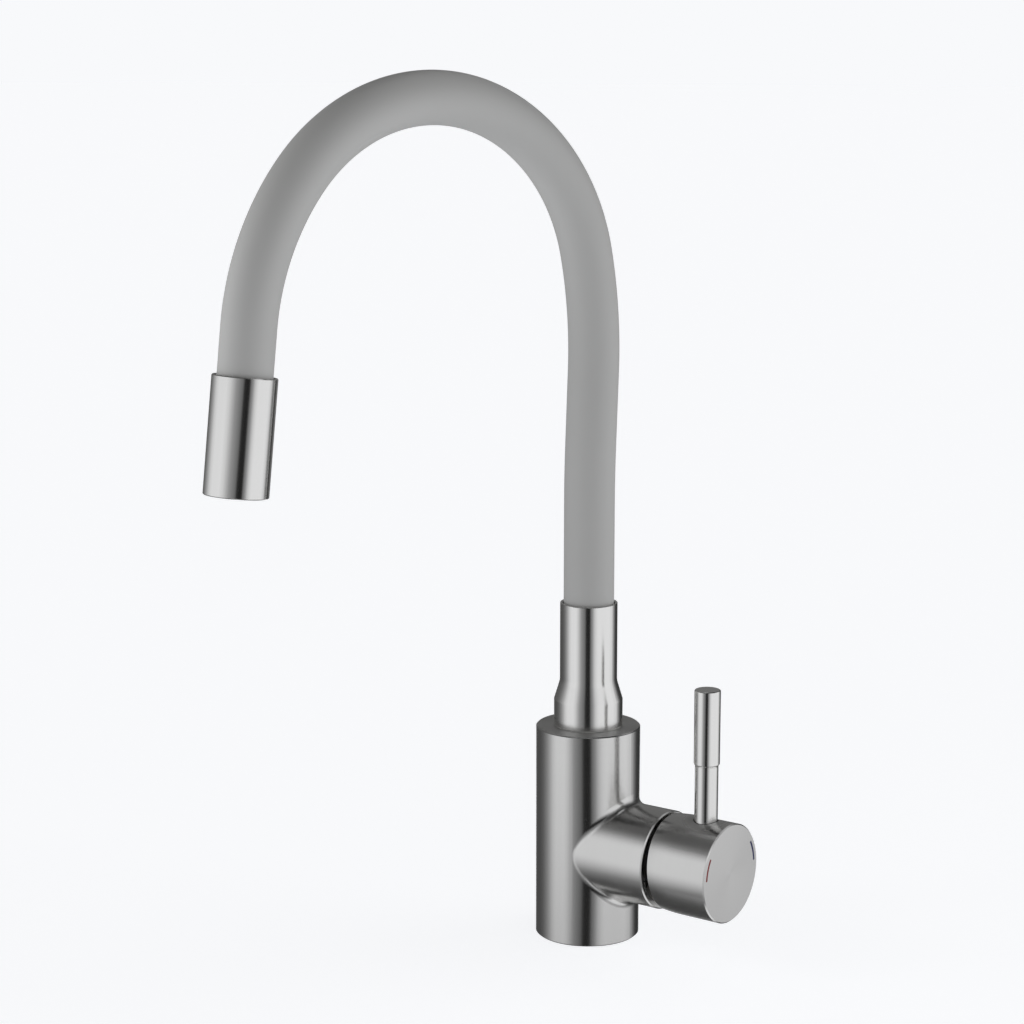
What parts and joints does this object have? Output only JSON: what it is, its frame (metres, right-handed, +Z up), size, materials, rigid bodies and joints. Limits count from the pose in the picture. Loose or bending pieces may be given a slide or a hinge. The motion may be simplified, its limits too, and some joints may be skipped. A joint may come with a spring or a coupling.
{
  "type": "flexible kitchen faucet",
  "caption": "Side-lever kitchen faucet with a bendable gooseneck spout in a smooth silicone sleeve, a plain cylindrical body and a short cylindrical outlet with an aerator.",
  "frame": {"origin": "centre of the column's flat base, which sits on the sink or worktop", "axes": "+Z up along the column, +X along the cartridge axis towards the lever; the spout's arch lies in an upright plane 15 degrees from -Y towards -X"},
  "size_m": [0.1313, 0.2048, 0.3713],
  "materials": {
    "brushed_nickel": "fine brushed nickel, satin",
    "grey_silicone": "matte grey silicone",
    "black_rubber": "matte black rubber",
    "turned_brass": "turned brass",
    "plain_steel": "plain steel",
    "white_ceramic": "polished alumina",
    "grey_plastic": "moulded grey plastic",
    "white_plastic": "moulded white plastic",
    "aerator_metal": "bright plated ring",
    "hose_plastic": "braided plastic hose, plain",
    "red_enamel": "red enamel",
    "blue_enamel": "blue enamel"
  },
  "bodies": {
    "body": {"body_casting": "brushed_nickel", "base_seal": "black_rubber", "slip_ring": "white_plastic", "retaining_screw": "plain_steel", "cartridge_base": "grey_plastic", "port_seals": "black_rubber", "disc_seals": "black_rubber", "fixed_disc": "white_ceramic", "cartridge_housing": "grey_plastic", "cartridge_nut": "turned_brass"},
    "mixer": {"cartridge_rotor": "grey_plastic", "stem_pin": "plain_steel"},
    "flow_slider": {"moving_disc": "white_ceramic", "disc_carrier": "grey_plastic"},
    "lever": {"lever_stem": "plain_steel", "lever_hub": "brushed_nickel", "lever_rod": "brushed_nickel", "hub_grub_screw": "plain_steel", "hot_mark": "red_enamel", "cold_mark": "blue_enamel"},
    "spout_base": {"spout_spigot": "turned_brass", "spigot_seals": "black_rubber", "spout_collar": "brushed_nickel", "lower_ferrule": "turned_brass", "silicone_sleeve": "grey_silicone", "water_tube": "hose_plastic", "conduit_section_1": "plain_steel"},
    "riser_middle": {"conduit_section_2": "plain_steel"},
    "riser_top": {"conduit_section_3": "plain_steel"},
    "crown": {"conduit_section_4": "plain_steel"},
    "drop": {"conduit_section_5": "plain_steel"},
    "outlet": {"conduit_section_6": "plain_steel", "upper_ferrule": "turned_brass", "outlet_nut": "turned_brass", "outlet_housing": "brushed_nickel", "aerator_seal": "black_rubber", "aerator_housing": "aerator_metal", "aerator_screen": "plain_steel", "flow_straightener": "white_plastic"}
  },
  "joints": [
    {"name": "spout_swivel", "type": "hinge", "parent": "body", "child": "spout_base", "pos_m": [0, 0, 0.0928], "axis": [0, 0, 1], "continuous": true},
    {"name": "riser_side_bend", "type": "hinge", "parent": "spout_base", "child": "riser_middle", "pos_m": [0, 0, 0.18144], "axis": [-0.2588, -0.9659, 0], "range_deg": [-15, 15], "deforming": ["silicone_sleeve", "water_tube"]},
    {"name": "riser_bend", "type": "hinge", "parent": "riser_middle", "child": "riser_top", "pos_m": [0.00029, 0.0011, 0.22992], "axis": [0.9659, -0.2588, 0], "range_deg": [-20, 20], "deforming": ["silicone_sleeve", "water_tube"]},
    {"name": "crown_bend", "type": "hinge", "parent": "riser_top", "child": "crown", "pos_m": [-0.00636, -0.02373, 0.33672], "axis": [0.9659, -0.2588, 0], "range_deg": [-25, 20], "deforming": ["silicone_sleeve", "water_tube"]},
    {"name": "crown_turn", "type": "hinge", "parent": "crown", "child": "drop", "pos_m": [-0.02491, -0.09298, 0.35933], "axis": [-0.0449, -0.1677, 0.9848], "range_deg": [-25, 25], "deforming": ["silicone_sleeve", "water_tube"]},
    {"name": "outlet_bend", "type": "hinge", "parent": "drop", "child": "outlet", "pos_m": [-0.04124, -0.15389, 0.30818], "axis": [0.9659, -0.2588, 0], "range_deg": [-30, 25], "deforming": ["silicone_sleeve", "water_tube"]},
    {"name": "lever_turn", "type": "hinge", "parent": "body", "child": "mixer", "pos_m": [0.02502, 0, 0.0399], "axis": [1, 0, 0], "range_deg": [-45, 45]},
    {"name": "lever_lift", "type": "hinge", "parent": "mixer", "child": "lever", "pos_m": [0.02502, 0, 0.0399], "axis": [0, 1, 0], "range_deg": [0, 20]},
    {"name": "disc_slide", "type": "slide", "parent": "mixer", "child": "flow_slider", "axis": [0, 0, 1], "range_m": [0, 0.0022]}
  ],
  "couplings": [
    {"joint": "disc_slide", "follows": "lever_lift", "m_per_rad": 0.0062}
  ]
}
